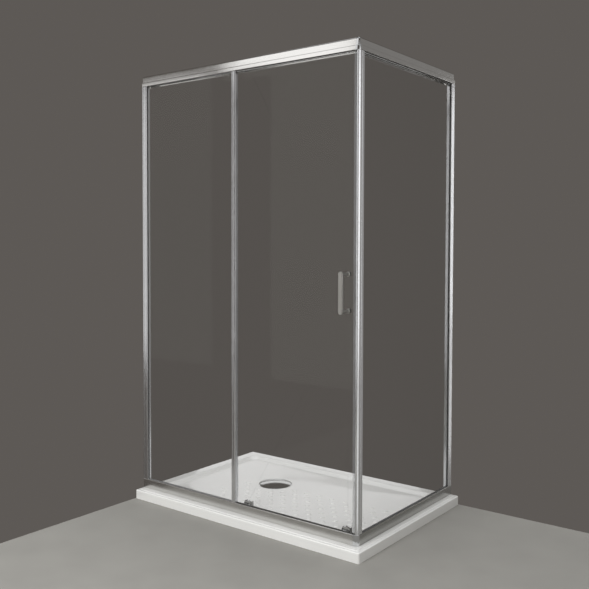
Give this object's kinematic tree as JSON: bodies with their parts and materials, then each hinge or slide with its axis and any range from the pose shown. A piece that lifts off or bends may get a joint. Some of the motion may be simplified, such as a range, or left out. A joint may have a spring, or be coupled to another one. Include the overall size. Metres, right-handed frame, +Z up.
{
  "type": "corner shower enclosure",
  "caption": "Framed corner shower enclosure on a low tray, with a fixed pane and a sliding glass door on the long side and a fixed pane on the short side",
  "frame": {"origin": "Under the middle of the tray, on the surface that it stands on", "axes": "+X along the door side from the left wall to the free corner, +Y from the door side to the back wall, +Z up"},
  "size_m": [1.2, 0.8, 1.89],
  "materials": {
    "tray_acrylic": "glossy moulded sanitary acrylic",
    "chrome": "mirror chrome plate",
    "polished_aluminium": "polished anodised extrusion",
    "bright_profile": "bright anodised extrusion",
    "mill_aluminium": "plain extruded aluminium",
    "satin_steel": "satin stainless steel",
    "steel": "plain stainless steel",
    "clear_glass": "clear toughened safety glass",
    "clear_seal": "translucent soft vinyl",
    "grey_gasket": "grey glazing rubber",
    "black_plastic": "black moulded plastic",
    "white_nylon": "white nylon"
  },
  "bodies": {
    "frame": {"tray": "tray_acrylic", "waste_flange": "chrome", "corner_cover_bottom": "chrome", "corner_cover_top": "chrome", "bottom_rail_front": "polished_aluminium", "bottom_rail_side": "polished_aluminium", "top_rail_front": "polished_aluminium", "top_rail_side": "polished_aluminium", "stile_left": "bright_profile", "stile_back": "bright_profile", "corner_post": "bright_profile", "mid_post": "bright_profile", "wall_channel_left": "mill_aluminium", "wall_channel_back": "mill_aluminium", "stile_screws": "steel", "rail_screws": "steel", "fixed_glass": "clear_glass", "side_glass": "clear_glass", "mid_post_seal": "clear_seal", "post_magnet_strip": "clear_seal", "fixed_glass_gasket": "grey_gasket", "side_glass_gasket": "grey_gasket", "corner_block_bottom": "black_plastic", "corner_block_top": "black_plastic", "track_stops": "black_plastic"},
    "door": {"door_glass": "clear_glass", "door_magnet_seal": "clear_seal", "door_edge_seal": "clear_seal", "handle": "satin_steel", "handle_washers": "clear_seal", "handle_screws": "satin_steel", "roller_caps": "chrome", "roller_washers": "white_nylon", "top_roller_spacers": "white_nylon", "top_roller_bolts": "steel", "lower_roller_housings": "white_nylon", "lower_roller_screws": "steel", "lead_spring": "steel", "trail_spring": "steel"},
    "lead_carrier": {"lead_carrier": "steel"},
    "trail_carrier": {"trail_carrier": "steel"},
    "lead_top_wheel": {"lead_top_wheel": "white_nylon"},
    "trail_top_wheel": {"trail_top_wheel": "white_nylon"},
    "lead_low_wheel": {"lead_low_wheel": "white_nylon"},
    "trail_low_wheel": {"trail_low_wheel": "white_nylon"},
    "waste_cover": {"waste_cover": "chrome"}
  },
  "joints": [
    {"name": "door_slide", "type": "slide", "parent": "frame", "child": "door", "axis": [-1, 0, 0], "range_m": [0, 0.47]},
    {"name": "waste_cover_lift", "type": "slide", "parent": "frame", "child": "waste_cover", "axis": [0, 0, 1], "range_m": [0, 0.05]},
    {"name": "lead_carrier_press", "type": "slide", "parent": "door", "child": "lead_carrier", "axis": [0, 0, 1], "range_m": [0, 0.006], "stiffness_N_per_m": 800, "springref_m": -0.002, "deforming": ["lead_spring"]},
    {"name": "trail_carrier_press", "type": "slide", "parent": "door", "child": "trail_carrier", "axis": [0, 0, 1], "range_m": [0, 0.006], "stiffness_N_per_m": 800, "springref_m": -0.002, "deforming": ["trail_spring"]},
    {"name": "lead_top_wheel_spin", "type": "hinge", "parent": "door", "child": "lead_top_wheel", "pos_m": [0.501, -0.3209, 1.86025], "axis": [0, -1, 0], "range_deg": [-10, 3200]},
    {"name": "trail_top_wheel_spin", "type": "hinge", "parent": "door", "child": "trail_top_wheel", "pos_m": [0.015, -0.3209, 1.86025], "axis": [0, -1, 0], "range_deg": [-10, 3200]},
    {"name": "lead_low_wheel_spin", "type": "hinge", "parent": "lead_carrier", "child": "lead_low_wheel", "pos_m": [0.501, -0.3209, 0.06025], "axis": [0, -1, 0], "range_deg": [-10, 3200]},
    {"name": "trail_low_wheel_spin", "type": "hinge", "parent": "trail_carrier", "child": "trail_low_wheel", "pos_m": [0.015, -0.3209, 0.06025], "axis": [0, -1, 0], "range_deg": [-10, 3200]}
  ],
  "couplings": [
    {"joint": "lead_top_wheel_spin", "follows": "door_slide", "rad_per_m": 117.65},
    {"joint": "trail_top_wheel_spin", "follows": "door_slide", "rad_per_m": 117.65},
    {"joint": "lead_low_wheel_spin", "follows": "door_slide", "rad_per_m": 117.65},
    {"joint": "trail_low_wheel_spin", "follows": "door_slide", "rad_per_m": 117.65}
  ]
}
